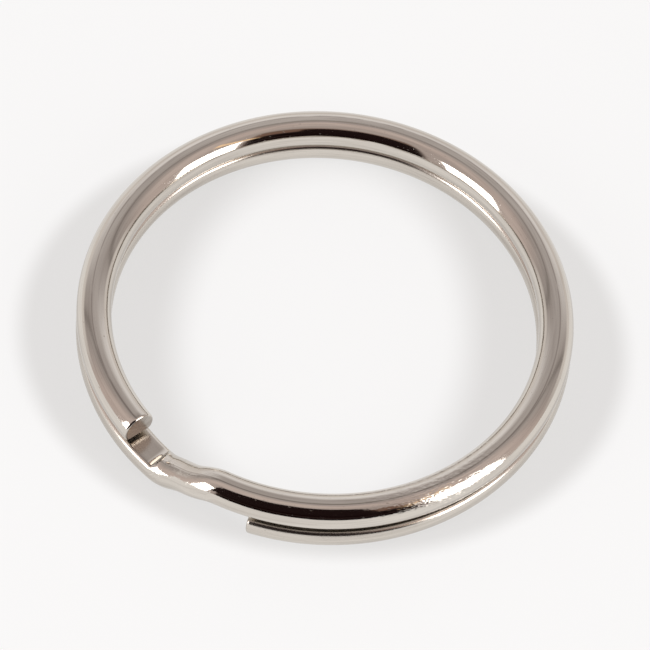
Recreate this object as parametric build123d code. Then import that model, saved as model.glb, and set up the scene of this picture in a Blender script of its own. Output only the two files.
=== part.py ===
from build123d import *
import math
import os

# Split key ring, millimetres, standing on Z = 0 with its axis on +Z.
#
# One piece of wire makes two turns that lie on each other, flat to flat.
# The upper turn runs from its cut end nearly all the way round, drops through
# the joggle to the lower level and goes round again below itself.

# ---- Driving dimensions ----------------------------------------------------

outer_diameter = 30.0      # across the outside of either turn
wire_diameter = 1.95       # the round wire, as drawn, in the middle of the joggle
wire_width = 2.12          # the pressed wire, across, seen from above
shoulder_height = 0.66     # from the mating flat up to where the wire is widest
flat_edge_radius = 0.30    # rounding where the mating flat turns up into the side
crown_press = 0.02         # what the press takes off the crown, leaving a narrow land
crown_radius = 0.70        # rounding next to that land

turn_gap = 0.04            # clearance between the flats where the turns close
turn_opening = 0.42        # how much further apart they stand on the -Y side

joggle_azimuth = 239.3     # middle of the joggle, degrees from +X
joggle_span = 19.0         # angle that the joggle takes to change level
joggle_bend = 0.25         # share of that angle that each of its two bends takes
joggle_bow = 0.06          # how far its foot bows inwards, and its top outwards
press_runout = 2.4         # angle over which a pressed flat dies into the wire
end_clearance = 7.7        # angle from a cut end to the near end of the joggle
end_rounding = 0.16        # tumbled edge round each cut end

# ---- Values worked out from them -------------------------------------------

centre_radius = (outer_diameter - wire_width) / 2
joggle_low = joggle_azimuth - joggle_span / 2
turn_sweep = 360.0 - joggle_span - end_clearance
crown_height = wire_width / 2 - crown_press
turn_height = shoulder_height + crown_height
opening_angle = math.degrees(math.asin(turn_opening / (2 * centre_radius)))

# Each turn's own frame lies in the plane of the wire's widest line.
lower_turn = Pos(0, 0, crown_height)
upper_lift = turn_height + turn_gap + turn_opening / 2 + shoulder_height
upper_turn = Pos(0, 0, upper_lift) * Rot(-opening_angle, 0, 0)


def land_points(wire_radius, flat):
    """Where a land ends, and where its rounding meets the round of the wire.

    Both points are given for the right side and the upper half. The land goes
    from 0, the narrow one on a crown, to 1, a mating flat.
    """
    crown = wire_radius - crown_press
    height = crown + flat * (shoulder_height - crown)
    rounding = crown_radius + flat * (flat_edge_radius - crown_radius)
    centre_y = height - rounding
    centre_x = math.sqrt((wire_radius - rounding) ** 2 - centre_y**2)
    reach = wire_radius / (wire_radius - rounding)
    return (centre_x, height), (centre_x * reach, centre_y * reach)


def wire_section(wire_radius, pressed_above, pressed_below):
    """The wire's section, X outwards and Y up, about the middle of its width.

    What presses the wire above and below goes from 0, just the narrow land of
    a crown, to 1, a mating flat.
    """
    above_end, above_meet = land_points(wire_radius, pressed_above)
    below_end, below_meet = land_points(wire_radius, pressed_below)

    def place(point, x_side, y_side):
        return (x_side * point[0], y_side * point[1])

    def side(x_side):
        """The outline down one side, from the upper land to the lower one."""
        top, bottom = place(above_end, x_side, 1), place(below_end, x_side, -1)
        high, low = place(above_meet, x_side, 1), place(below_meet, x_side, -1)
        return [
            TangentArc(top, high, tangent=(x_side, 0)),
            ThreePointArc(high, (x_side * wire_radius, 0), low),
            TangentArc(bottom, low, tangent=(x_side, 0)),
        ]

    upper_land = Line(place(above_end, -1, 1), above_end)
    lower_land = Line(place(below_end, 1, -1), place(below_end, -1, -1))
    return make_face([upper_land, *side(1), lower_land, *side(-1)[::-1]])


def wire_frame(turn, azimuth):
    """The frame of one turn where it passes an azimuth: X out, Y along, Z up."""
    return Plane(turn * Rot(0, 0, azimuth) * Pos(centre_radius, 0, 0))


def section_plane(origin, outward, along):
    """Plane across the wire, with X outwards and Y up."""
    return Plane(origin, x_dir=outward, z_dir=-along)


def make_turn(turn, start_azimuth, pressed_above, pressed_below):
    """One turn: its pressed section, revolved about the turn's own axis."""
    frame = wire_frame(turn, start_azimuth)
    across = section_plane(frame.origin, frame.x_dir, frame.y_dir)
    section = across * wire_section(wire_width / 2, pressed_above, pressed_below)
    turn_plane = Plane(turn)
    axis = Axis(turn_plane.origin, turn_plane.z_dir)
    return revolve(section, axis, turn_sweep)


def climb_at(travel):
    """Share of the joggle's climb done after a share of its span, and the rate there.

    The climb is even, with a bend at each end.
    """
    if travel > 0.5:
        done, rate = climb_at(1 - travel)
        return 1 - done, rate
    rate = min(travel / joggle_bend, 1) / (1 - joggle_bend)
    return rate * max(travel / 2, travel - joggle_bend / 2), rate


def bow_at(travel):
    """How far the joggle bows outwards after a share of its span, and the rate there.

    It bows inwards first and then outwards, and leaves each turn without a corner.
    """
    swing = 2 * math.pi * travel
    largest = 3 * math.sqrt(3) / 4
    bow = -math.sin(swing) * (1 - math.cos(swing)) / largest
    rate = 2 * math.pi * (math.cos(2 * swing) - math.cos(swing)) / largest
    return joggle_bow * bow, joggle_bow * rate


def joggle_section(angle):
    """The section at an angle into the joggle, from its foot on the lower turn."""
    travel = angle / joggle_span
    ease, rate = climb_at(travel)
    bow, bow_rate = bow_at(travel)
    low = wire_frame(lower_turn, joggle_low + angle)
    high = wire_frame(upper_turn, joggle_low + angle)
    climb = high.origin - low.origin
    outward = low.x_dir * (1 - ease) + high.x_dir * ease
    level = low.y_dir * (1 - ease) + high.y_dir * ease
    origin = low.origin + climb * ease + outward * bow
    along = level * centre_radius * math.radians(joggle_span)
    along += climb * rate + outward * bow_rate
    narrowing = (1 - math.cos(2 * math.pi * travel)) / 2
    wire_radius = (wire_width - narrowing * (wire_width - wire_diameter)) / 2
    pressed_above = max(0, 1 - angle / press_runout)
    pressed_below = max(0, 1 - (joggle_span - angle) / press_runout)
    across = section_plane(origin, outward, along)
    return across * wire_section(wire_radius, pressed_above, pressed_below)


def joggle_stretch(start, end, steps):
    """Part of the joggle, lofted between two angles from its foot."""
    angles = [start + (end - start) * i / steps for i in range(steps + 1)]
    return loft([joggle_section(angle) for angle in angles])


def make_joggle():
    """The step between the turns: flat above, then round wire, then flat below."""
    round_end = joggle_span - press_runout
    foot = joggle_stretch(0, press_runout, 3)
    climb = joggle_stretch(press_runout, round_end, 8)
    top = joggle_stretch(round_end, joggle_span, 3)
    return foot + climb + top


def round_cut_end(wire, turn, azimuth):
    """Round the edge of the cut end that faces along the wire at an azimuth."""
    centre = wire_frame(turn, azimuth).origin
    end_face = wire.faces().sort_by_distance(centre)[0]
    return fillet(end_face.edges(), end_rounding)


def make_ring():
    lower_end = joggle_low - turn_sweep
    upper_end = joggle_low + joggle_span + turn_sweep
    lower = make_turn(lower_turn, lower_end, pressed_above=1, pressed_below=0)
    upper = make_turn(upper_turn, upper_end - turn_sweep, pressed_above=0, pressed_below=1)
    lower = round_cut_end(lower, lower_turn, lower_end)
    upper = round_cut_end(upper, upper_turn, upper_end)
    return lower + make_joggle() + upper


os.makedirs("parts", exist_ok=True)
export_step(make_ring(), "parts/split_ring.step")
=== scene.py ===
"""A split key ring of polished, nickel-plated spring wire, on a plain pale floor."""

import math

import bmesh
import bpy
from mathutils import Matrix, Vector


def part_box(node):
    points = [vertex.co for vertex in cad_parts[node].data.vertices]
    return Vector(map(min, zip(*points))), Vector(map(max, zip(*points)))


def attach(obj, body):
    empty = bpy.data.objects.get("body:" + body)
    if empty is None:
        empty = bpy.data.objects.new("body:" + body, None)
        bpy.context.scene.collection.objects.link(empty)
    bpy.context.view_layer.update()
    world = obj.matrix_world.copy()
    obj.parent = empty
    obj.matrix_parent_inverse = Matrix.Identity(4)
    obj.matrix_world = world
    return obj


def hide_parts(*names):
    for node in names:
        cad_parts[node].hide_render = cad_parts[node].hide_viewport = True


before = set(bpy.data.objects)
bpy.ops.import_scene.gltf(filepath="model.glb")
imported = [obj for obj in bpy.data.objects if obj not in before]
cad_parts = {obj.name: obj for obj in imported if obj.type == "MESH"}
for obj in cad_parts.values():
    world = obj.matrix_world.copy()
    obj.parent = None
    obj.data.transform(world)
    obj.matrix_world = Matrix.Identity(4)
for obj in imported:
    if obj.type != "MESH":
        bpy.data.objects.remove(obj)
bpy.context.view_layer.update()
bpy.ops.object.select_all(action="DESELECT")

mm = 0.001

# ---- The wire ring -----------------------------------------------------------
# The real ring is one length of spring-steel wire. It is drawn round, coiled in
# two turns that lie on each other, and pressed so that each turn gets a flat
# towards the other. Only the joggle between the turns stays round.

ring_low, ring_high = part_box("split_ring")
outer_diameter = ring_high[0] - ring_low[0]
wire_diameter = 1.95 * mm
wire_width = 2.12 * mm
shoulder_height = 0.66 * mm
flat_edge_radius = 0.30 * mm
crown_press = 0.02 * mm
crown_radius = 0.70 * mm
turn_gap = 0.04 * mm
turn_opening = 0.42 * mm
joggle_azimuth = math.radians(239.3)
joggle_span = math.radians(19.0)
joggle_bend = 0.25
joggle_bow = 0.06 * mm
press_runout = math.radians(2.4)
end_clearance = math.radians(7.7)
end_rounding = 0.16 * mm

centre_radius = (outer_diameter - wire_width) / 2
joggle_low = joggle_azimuth - joggle_span / 2
joggle_high = joggle_azimuth + joggle_span / 2
turn_sweep = math.tau - joggle_span - end_clearance
crown_height = wire_width / 2 - crown_press
turn_height = shoulder_height + crown_height
opening_angle = math.asin(turn_opening / (2 * centre_radius))
upper_lift = turn_height + turn_gap + turn_opening / 2 + shoulder_height

lower_turn = Matrix.Translation((0, 0, crown_height))
upper_turn = Matrix.Translation((0, 0, upper_lift)) @ Matrix.Rotation(-opening_angle, 4, "X")

land_steps = 6       # faces across a land
corner_steps = 8     # faces round the rounding beside a land
side_steps = 24      # faces round one side of the wire
outline_points = 2 * land_steps + 4 * corner_steps + 2 * side_steps


def wire_at(turn, azimuth):
    """Frame of the wire on one turn: X outwards, Y along the wire, Z up."""
    around = Matrix.Rotation(azimuth, 4, "Z")
    return turn @ around @ Matrix.Translation((centre_radius, 0, 0))


def arc(centre, radius, start, end, steps):
    """Points of an arc, without its last one, as (outwards, up)."""
    angles = [start + (end - start) * i / steps for i in range(steps)]
    return [(centre[0] + radius * math.cos(a), centre[1] + radius * math.sin(a)) for a in angles]


def wire_outline(radius, flat_above, flat_below, inset=0.0):
    """The section's outline, clockwise from the outer end of the upper land.

    Each flat goes from 0, just the narrow land of a crown, to 1, a mating flat.
    The inset shrinks the outline evenly.
    """
    crown = radius - crown_press

    def corner(flat):
        height = crown + flat * (shoulder_height - crown)
        rounding = crown_radius + flat * (flat_edge_radius - crown_radius)
        rise = height - rounding
        reach = math.sqrt((radius - rounding) ** 2 - rise**2)
        return reach, rise, rounding - inset

    reach_above, rise_above, round_above = corner(flat_above)
    reach_below, rise_below, round_below = corner(flat_below)
    meet_above = math.atan2(rise_above, reach_above)
    meet_below = math.atan2(rise_below, reach_below)
    quarter = math.pi / 2

    right = arc((reach_above, rise_above), round_above, quarter, meet_above, corner_steps)
    right += arc((0, 0), radius - inset, meet_above, -meet_below, side_steps)
    right += arc((reach_below, -rise_below), round_below, -meet_below, -quarter, corner_steps)
    land_ends = (reach_above, rise_above + round_above), (reach_below, -rise_below - round_below)

    def land(end):
        """From one end of a land, across it, to just before the other."""
        return [(end[0] * (1 - 2 * i / land_steps), end[1]) for i in range(land_steps)]

    left = [(-x, y) for x, y in reversed(right[1:])]
    lower_land = land(land_ends[1])
    upper_land = [(-x, y) for x, y in land(land_ends[0])]
    left_end = [(-land_ends[1][0], land_ends[1][1])]
    return right + lower_land + left_end + left + upper_land


def climb_at(travel):
    """Share of the joggle's climb done after a share of its span, and the rate there.

    The climb is even, with a bend at each end.
    """
    if travel > 0.5:
        done, rate = climb_at(1 - travel)
        return 1 - done, rate
    rate = min(travel / joggle_bend, 1) / (1 - joggle_bend)
    return rate * max(travel / 2, travel - joggle_bend / 2), rate


def bow_at(travel):
    """How far the joggle bows outwards after a share of its span, and the rate there.

    It bows inwards first and then outwards, and leaves each turn without a corner.
    """
    swing = math.tau * travel
    largest = 3 * math.sqrt(3) / 4
    bow = -math.sin(swing) * (1 - math.cos(swing)) / largest
    rate = math.tau * (math.cos(2 * swing) - math.cos(swing)) / largest
    return joggle_bow * bow, joggle_bow * rate


def joggle_at(angle):
    """Frame of the wire in the joggle, at an angle from its foot."""
    travel = angle / joggle_span
    ease, rate = climb_at(travel)
    bow, bow_rate = bow_at(travel)
    low = wire_at(lower_turn, joggle_low + angle)
    high = wire_at(upper_turn, joggle_low + angle)
    climb = high.translation - low.translation
    outward = low.col[0].to_3d().lerp(high.col[0].to_3d(), ease)
    level = low.col[1].to_3d().lerp(high.col[1].to_3d(), ease)
    along = level * centre_radius * joggle_span + climb * rate + outward * bow_rate
    along.normalize()
    up = outward.cross(along).normalized()
    placed = Matrix((along.cross(up), along, up)).transposed().to_4x4()
    placed.translation = low.translation + climb * ease + outward * bow
    return placed


# The first loop of the wire: a circle, which each station then presses to shape.
bpy.ops.mesh.primitive_circle_add(vertices=outline_points, radius=wire_diameter / 2)
ring = bpy.context.object
ring.name = ring.data.name = "ring"
bpy.ops.object.mode_set(mode="EDIT")
edit = bmesh.from_edit_mesh(ring.data)
edit.verts.layers.int.new("outline_point")
point_layer = edit.verts.layers.int["outline_point"]
for number, vert in enumerate(edit.verts):
    vert[point_layer] = number


def press_loop(placed, outline):
    """Move the selected loop to a frame of the wire, and give it an outline."""
    edit = bmesh.from_edit_mesh(ring.data)
    point_layer = edit.verts.layers.int["outline_point"]
    for vert in edit.verts:
        if vert.select:
            out, up = outline[vert[point_layer]]
            vert.co = placed @ Vector((out, 0, up))
    bmesh.update_edit_mesh(ring.data)


def draw_on(placed, outline):
    """Extrude the selected loop and lay the new one further along the wire."""
    bpy.ops.mesh.extrude_region_move()
    press_loop(placed, outline)


def coil(turn, sweep):
    """Spin the selected loop round one turn."""
    bpy.ops.mesh.spin(
        steps=round(sweep / turn_step),
        angle=-sweep,
        center=turn.translation,
        axis=turn.col[2].to_3d(),
    )


turn_step = math.radians(1.5)
rounding_steps = 5
rounding_angle = end_rounding / centre_radius    # that the rounded edge of a cut end takes
cut_face_rings = (0.3, 0.65)                     # rings of faces on a cut face, as shares of it
joggle_steps = 40


def cut_end_stations(flat_above, flat_below):
    """From the middle of a cut face outwards, and then along the wire.

    Each is an angle from the cut end, and the outline there.
    """
    face = wire_outline(wire_width / 2, flat_above, flat_below, end_rounding)
    for share in cut_face_rings:
        yield 0, [(share * out, share * up) for out, up in face]
    for step in range(rounding_steps + 1):
        slope = math.pi / 2 * step / rounding_steps
        inset = end_rounding * (1 - math.sin(slope))
        outline = wire_outline(wire_width / 2, flat_above, flat_below, inset)
        yield rounding_angle * (1 - math.cos(slope)), outline


lower_end = joggle_low - turn_sweep
upper_end = joggle_high + turn_sweep
lay_loop = press_loop
for angle, outline in cut_end_stations(1, 0):
    lay_loop(wire_at(lower_turn, lower_end + angle), outline)
    lay_loop = draw_on
coil(lower_turn, turn_sweep - rounding_angle)
for step in range(1, joggle_steps + 1):
    angle = joggle_span * step / joggle_steps
    narrowing = (1 - math.cos(math.tau * step / joggle_steps)) / 2
    radius = (wire_width - narrowing * (wire_width - wire_diameter)) / 2
    pressed_above = max(0, 1 - angle / press_runout)
    pressed_below = max(0, 1 - (joggle_span - angle) / press_runout)
    draw_on(joggle_at(angle), wire_outline(radius, pressed_above, pressed_below))
coil(upper_turn, turn_sweep - rounding_angle)
for angle, outline in list(cut_end_stations(0, 1))[-2::-1]:
    draw_on(wire_at(upper_turn, upper_end - angle), outline)

# Close the middle of each cut face.
bpy.ops.mesh.select_all(action="DESELECT")
bpy.ops.mesh.select_mode(type="EDGE")
edit = bmesh.from_edit_mesh(ring.data)
for edge in edit.edges:
    edge.select_set(edge.is_boundary)
bpy.ops.mesh.edge_face_add()
bpy.ops.mesh.poke()
bpy.ops.mesh.select_all(action="SELECT")
bpy.ops.mesh.normals_make_consistent(inside=False)
bpy.ops.object.mode_set(mode="OBJECT")
bpy.ops.object.shade_smooth()


# Each point of the wire knows where it lies along the wire, and where on the drawn
# wire's outline: along, outwards and up. The drawing lines in its finish follow this.
drawn_outline = wire_outline(wire_diameter / 2, 0, 0)
middle_height = turn_height + (turn_gap + turn_opening) / 2
wire_place = ring.data.attributes.new("wire_place", "FLOAT_VECTOR", "POINT")
outline_point = ring.data.attributes["outline_point"]
for vert in ring.data.vertices:
    azimuth = math.atan2(vert.co.y, vert.co.x) % math.tau
    between_turns = middle_height - vert.co.y * math.tan(opening_angle)
    if joggle_low <= azimuth <= joggle_high:
        angle = turn_sweep + azimuth - joggle_low
    elif vert.co.z < between_turns:
        angle = (azimuth - lower_end + rounding_angle) % math.tau - rounding_angle
    else:
        angle = turn_sweep + joggle_span + (azimuth - joggle_high) % math.tau
    out, up = drawn_outline[outline_point.data[vert.index].value % outline_points]
    wire_place.data[vert.index].vector = (angle * centre_radius, out, up)
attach(ring, "root")
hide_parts("split_ring")


class Value:
    """A number or colour that flows through a node tree, with Python's operators."""

    def __init__(self, tree, socket):
        self.tree = tree
        self.socket = socket

    def maths(self, operation, *others):
        return make_node(self.tree, "Math", {"operation": operation}, [self, *others])

    def __add__(self, other):
        return self.maths("ADD", other)

    def __sub__(self, other):
        return self.maths("SUBTRACT", other)

    def __rsub__(self, other):
        return make_node(self.tree, "Math", {"operation": "SUBTRACT"}, [other, self])

    def __mul__(self, other):
        return self.maths("MULTIPLY", other)

    def __truediv__(self, other):
        return self.maths("DIVIDE", other)

    def __pow__(self, other):
        return self.maths("POWER", other)

    __radd__ = __add__
    __rmul__ = __mul__


def make_node(tree, kind, settings, inputs, output=0):
    """Add a node, with its settings first and then its inputs, and give one output."""
    node = tree.nodes.new("ShaderNode" + kind)
    for name, setting in settings.items():
        setattr(node, name, setting)
    named = inputs.items() if isinstance(inputs, dict) else enumerate(inputs)
    for name, value in named:
        if isinstance(value, Value):
            tree.links.new(value.socket, node.inputs[name])
        else:
            node.inputs[name].default_value = value
    return Value(tree, node.outputs[output])


def fade(value, start, end):
    """0 before start, 1 after end, and smooth between them."""
    inputs = {"Value": value, "From Min": start, "From Max": end}
    return make_node(value.tree, "MapRange", {"interpolation_type": "SMOOTHSTEP"}, inputs)


def axes_of(vector):
    """The X, Y and Z of a vector."""
    parts = vector.tree.nodes.new("ShaderNodeSeparateXYZ")
    vector.tree.links.new(vector.socket, parts.inputs[0])
    return [Value(vector.tree, socket) for socket in parts.outputs]


def mix_colours(share, first, second):
    """A colour that goes from the first to the second as the share goes from 0 to 1."""
    inputs = {0: share, 6: first, 7: second}
    return make_node(share.tree, "Mix", {"data_type": "RGBA"}, inputs, output=2)


def bump_at(value, middle, reach):
    """1 where the value is the middle, and 0 beyond a reach on either side."""
    off = (value - middle).maths("ABSOLUTE")
    return 1 - fade(off, 0, reach)


# Nickel over spring steel, tumbled bright. The drawing die leaves faint lines along
# the wire, and one plainer line beside its crown. Handling leaves fine marks.
nickel = bpy.data.materials.new("polished nickel plate")
nickel.use_nodes = True
tree = nickel.node_tree
shader = tree.nodes["Principled BSDF"]
place = make_node(tree, "Attribute", {"attribute_name": "wire_place"}, {}, output=1)
along, out, up = axes_of(place)


def lines_along(length, width, detail):
    """Noise drawn out along the wire, about 0.5, with lines of a length and a width."""
    scale = (1 / length, 1 / width, 1 / width)
    spread = make_node(tree, "VectorMath", {"operation": "MULTIPLY"}, [place, scale])
    inputs = {"Vector": spread, "Scale": 1.0, "Detail": detail, "Roughness": 0.6}
    return make_node(tree, "TexNoise", {}, inputs)


fine_lines = lines_along(2.5 * mm, 0.10 * mm, 2.0)
broad_lines = lines_along(9 * mm, 0.45 * mm, 2.0)
marks = fade(lines_along(0.25 * mm, 0.12 * mm, 3.0), 0.66, 0.74)
rubbed = bump_at(along, 99 * mm, 6 * mm) + bump_at(along, 83.5 * mm, 3 * mm) * 0.5
rubs = fade(lines_along(0.35 * mm, 0.13 * mm, 1.0), 0.40, 0.60) * rubbed
wire_length = (2 * turn_sweep + joggle_span) * centre_radius
face_start, face_end = 0.02 * mm, 0.06 * mm     # a cut face, from its end of the wire
sheared = fade(along, wire_length - face_end, wire_length - face_start)
sheared = sheared + 1 - fade(along, face_start, face_end)
under = 1 - fade(along, (turn_sweep - 0.1) * centre_radius, turn_sweep * centre_radius)
crown_line = bump_at(out, 0.15 * mm, 0.07 * mm) * fade(up, 0, 0.3 * mm)
crown_line = crown_line * fade(lines_along(1.5 * mm, 2 * mm, 1.0), 0.2, 0.5)
dulled = fade(broad_lines, 0.35, 0.7) * 0.35 + fade(fine_lines, 0.45, 0.75) * 0.25
dulled = dulled + crown_line * 0.8 + marks * 0.5 + sheared * 0.6
bright_nickel = (0.68, 0.635, 0.575, 1)
dull_nickel = (0.42, 0.375, 0.335, 1)
colour = mix_colours(dulled, bright_nickel, dull_nickel)
tree.links.new(colour.socket, shader.inputs["Base Color"])
roughness = fine_lines * 0.08 + marks * 0.15 + rubs * 0.06 + sheared * 0.12
roughness = roughness + under * 0.13 + 0.04
tree.links.new(roughness.socket, shader.inputs["Roughness"])
shader.inputs["Metallic"].default_value = 1.0
relief = fine_lines * 0.0010 + broad_lines * 0.003 + marks * 0.002 + rubs * 0.006
inputs = {"Strength": 1 - sheared, "Distance": 1.0 * mm, "Height": relief}
dents = make_node(tree, "Bump", {}, inputs)
tree.links.new(dents.socket, shader.inputs["Normal"])
ring.data.materials.append(nickel)

# ---- The floor -----------------------------------------------------------------
# A plain white table top, with a little painted shadow left and right of the ring. It
# isn't part of the ring. Part of its tone is lit, which keeps the ring's shadow on it.

bpy.ops.mesh.primitive_plane_add(size=2.0)
floor = bpy.context.object
floor.name = "floor"
white_top = bpy.data.materials.new("white table top")
white_top.use_nodes = True
tree = white_top.node_tree
top_shader = tree.nodes["Principled BSDF"]
top_shader.inputs["Base Color"].default_value = (0.95, 0.95, 0.95, 1)
top_shader.inputs["Roughness"].default_value = 1.0
top_shader.inputs["Specular IOR Level"].default_value = 0.0

object_place = make_node(tree, "TexCoord", {}, {}, output=3)
side, back, _ = axes_of(object_place)


def oval(half_width, half_depth):
    """Distance from the ring's axis, where 1 is the edge of an oval."""
    return ((side / half_width) ** 2 + (back / half_depth) ** 2) ** 0.5


# Painted shadow: a soft grey band painted into the floor's seen tone, left and right of the
# ring, inside and outside it.
painted_shadow = 1 - fade(oval(18.8 * mm, 15.6 * mm), 0.93, 1.03)
painted_shadow = painted_shadow * fade(oval(8.4 * mm, 12.5 * mm), 0.85, 1.25)
white = (1, 1, 1, 1)
painted_shadow_tone = (0.79, 0.785, 0.78, 1)
seen_white_and_painted_shadow = mix_colours(painted_shadow, white, painted_shadow_tone)
glow = make_node(tree, "Emission", {}, {"Color": seen_white_and_painted_shadow, "Strength": 1.0})
ray = tree.nodes.new("ShaderNodeLightPath")
kinds = ("Is Camera Ray", "Is Glossy Ray", "Is Transmission Ray")
camera_ray, glossy_ray, transmission_ray = (Value(tree, ray.outputs[kind]) for kind in kinds)
seen_share = 0.8     # of the tone that is seen as it is, whatever the light
seen = (camera_ray + glossy_ray + transmission_ray) * seen_share
lit = Value(tree, top_shader.outputs[0])
mixed = make_node(tree, "MixShader", {}, [seen, lit, glow])
tree.links.new(mixed.socket, tree.nodes["Material Output"].inputs["Surface"])
floor.data.materials.append(white_top)

# ---- The studio ----------------------------------------------------------------
# Two soft boxes stand left and right of the camera. The far wall is white, with a
# darker arch round it, and the room is dark behind the camera. Elevations and
# bearings in the room are in degrees.

room = bpy.data.worlds.new("room")
room.use_nodes = True
bpy.context.scene.world = room
tree = room.node_tree
background = tree.nodes["Background"]
direction = make_node(tree, "TexCoord", {}, {})
side, back, height = axes_of(direction)
degrees = 180 / math.pi
elevation = height.maths("ARCSINE") * degrees
bearing = side.maths("ARCTAN2", back * -1) * degrees    # from the camera's side, towards +X

ceiling = (0.70, 0.60, 0.57, 1)
far_ceiling = (0.46, 0.42, 0.41, 1)
near_ceiling = (0.52, 0.45, 0.43, 1)
arch = (0.31, 0.28, 0.27, 1)
far_wall = (0.94, 0.92, 0.93, 1)
side_wall = (0.82, 0.78, 0.76, 1)
brown_edge = (0.22, 0.145, 0.115, 1)
brown_panel = (0.22, 0.13, 0.10, 1)
dark_room = (0.009, 0.003, 0.003, 1)
dim_streak = (0.09, 0.06, 0.055, 1)
gold_strip = (1.5, 1.05, 0.62, 1)

walls = mix_colours(fade(back, -0.05, 0.41), ceiling, far_ceiling)
walls = mix_colours(fade(back, -0.1, -0.4), walls, near_ceiling)
walls = mix_colours(bump_at(back, 0.45, 0.06), walls, arch)
walls = mix_colours(fade(back, 0.48, 0.83), walls, far_wall)
low_wall = fade(bearing.maths("ABSOLUTE"), 95, 110) * (1 - fade(elevation, 12, 22))
walls = mix_colours(low_wall, walls, side_wall)
across_dark = fade(bearing, -38, -33) * (1 - fade(bearing, 40, 45))
half_dark = across_dark * (1 - fade(elevation, 50, 58))
walls = mix_colours(half_dark, walls, brown_edge)
brown = across_dark * fade(bearing, 10, 18) * (1 - fade(elevation, 45, 50))
walls = mix_colours(brown, walls, brown_panel)
dark = across_dark * (1 - fade(elevation + fade(bearing, 10, 18) * 8, 41.5, 48))
streaks = bump_at(elevation, 15, 5) * 0.3 + bump_at(elevation, 34, 4) * 0.6
dark_wall = mix_colours(streaks, dark_room, dim_streak)
walls = mix_colours(dark, walls, dark_wall)
gold = bump_at(elevation - bearing * 0.75, 4, 4)
gold = gold * fade(bearing, 36, 41) * (1 - fade(bearing, 66, 72))
walls = mix_colours(gold, walls, gold_strip)
tree.links.new(walls.socket, background.inputs["Color"])

box_distance = 0.30
box_width = 0.15
box_foot = 0.005                    # above the table top
box_head = 0.226
box_glow = 4.5                      # radiance, where white paper is 1
box_bearing = math.radians(61)      # from the camera's side
box_height = box_head - box_foot
for side_of_camera in (-1, 1):
    bpy.ops.object.light_add(type="AREA")
    soft_box = bpy.context.object
    soft_box.name = "soft_box"
    lamp = soft_box.data
    lamp.shape = "RECTANGLE"
    lamp.size = box_width
    lamp.size_y = box_height
    lamp.energy = box_glow * math.pi * box_width * box_height
    level = Vector((side_of_camera * math.sin(box_bearing), -math.cos(box_bearing), 0))
    soft_box.location = level * box_distance + Vector((0, 0, box_foot + box_height / 2))
    soft_box.rotation_euler = level.to_track_quat("Z", "Y").to_euler()

# A black card stands close in front of the ring, where only the wire mirrors it.
bpy.ops.mesh.primitive_plane_add(size=1.0)
card = bpy.context.object
card.name = "black card"
card.scale = (39 * mm, 48 * mm, 1)
card.location = (-5.5 * mm, -32.4 * mm, 35.7 * mm)
card.rotation_euler = (math.radians(92.8), 0, 0)
black_card = bpy.data.materials.new("black card")
black_card.use_nodes = True
card_shader = black_card.node_tree.nodes["Principled BSDF"]
card_shader.inputs["Base Color"].default_value = (0.004, 0.002, 0.002, 1)
card_shader.inputs["Roughness"].default_value = 1.0
card_shader.inputs["Specular IOR Level"].default_value = 0.0
card_shader.inputs["Emission Color"].default_value = (0.012, 0.006, 0.006, 1)
card_shader.inputs["Emission Strength"].default_value = 1.0
card.data.materials.append(black_card)
card.visible_camera = False
card.visible_diffuse = False
card.visible_shadow = False

# ---- The camera ----------------------------------------------------------------
# It looks down on the ring from the front, a little turned about its line of sight.

camera_distance = 0.350
camera_elevation = math.radians(56.64)
camera_roll = math.radians(5.56)
bpy.ops.object.camera_add()
camera = bpy.context.object
camera.data.sensor_width = 36
camera.data.lens = 321.2
camera.data.shift_x = 0.0005
camera.data.shift_y = -0.0020
camera.data.clip_start = 0.01
aim = Vector((0, 0, turn_height + turn_gap / 2))
away = Vector((0, -math.cos(camera_elevation), math.sin(camera_elevation)))
camera.location = aim + camera_distance * away
facing = away.to_track_quat("Z", "Y") @ Matrix.Rotation(camera_roll, 3, "Z").to_quaternion()
camera.rotation_euler = facing.to_euler()
bpy.context.scene.camera = camera
bpy.context.scene.view_settings.view_transform = "Standard"

bpy.context.view_layer.update()
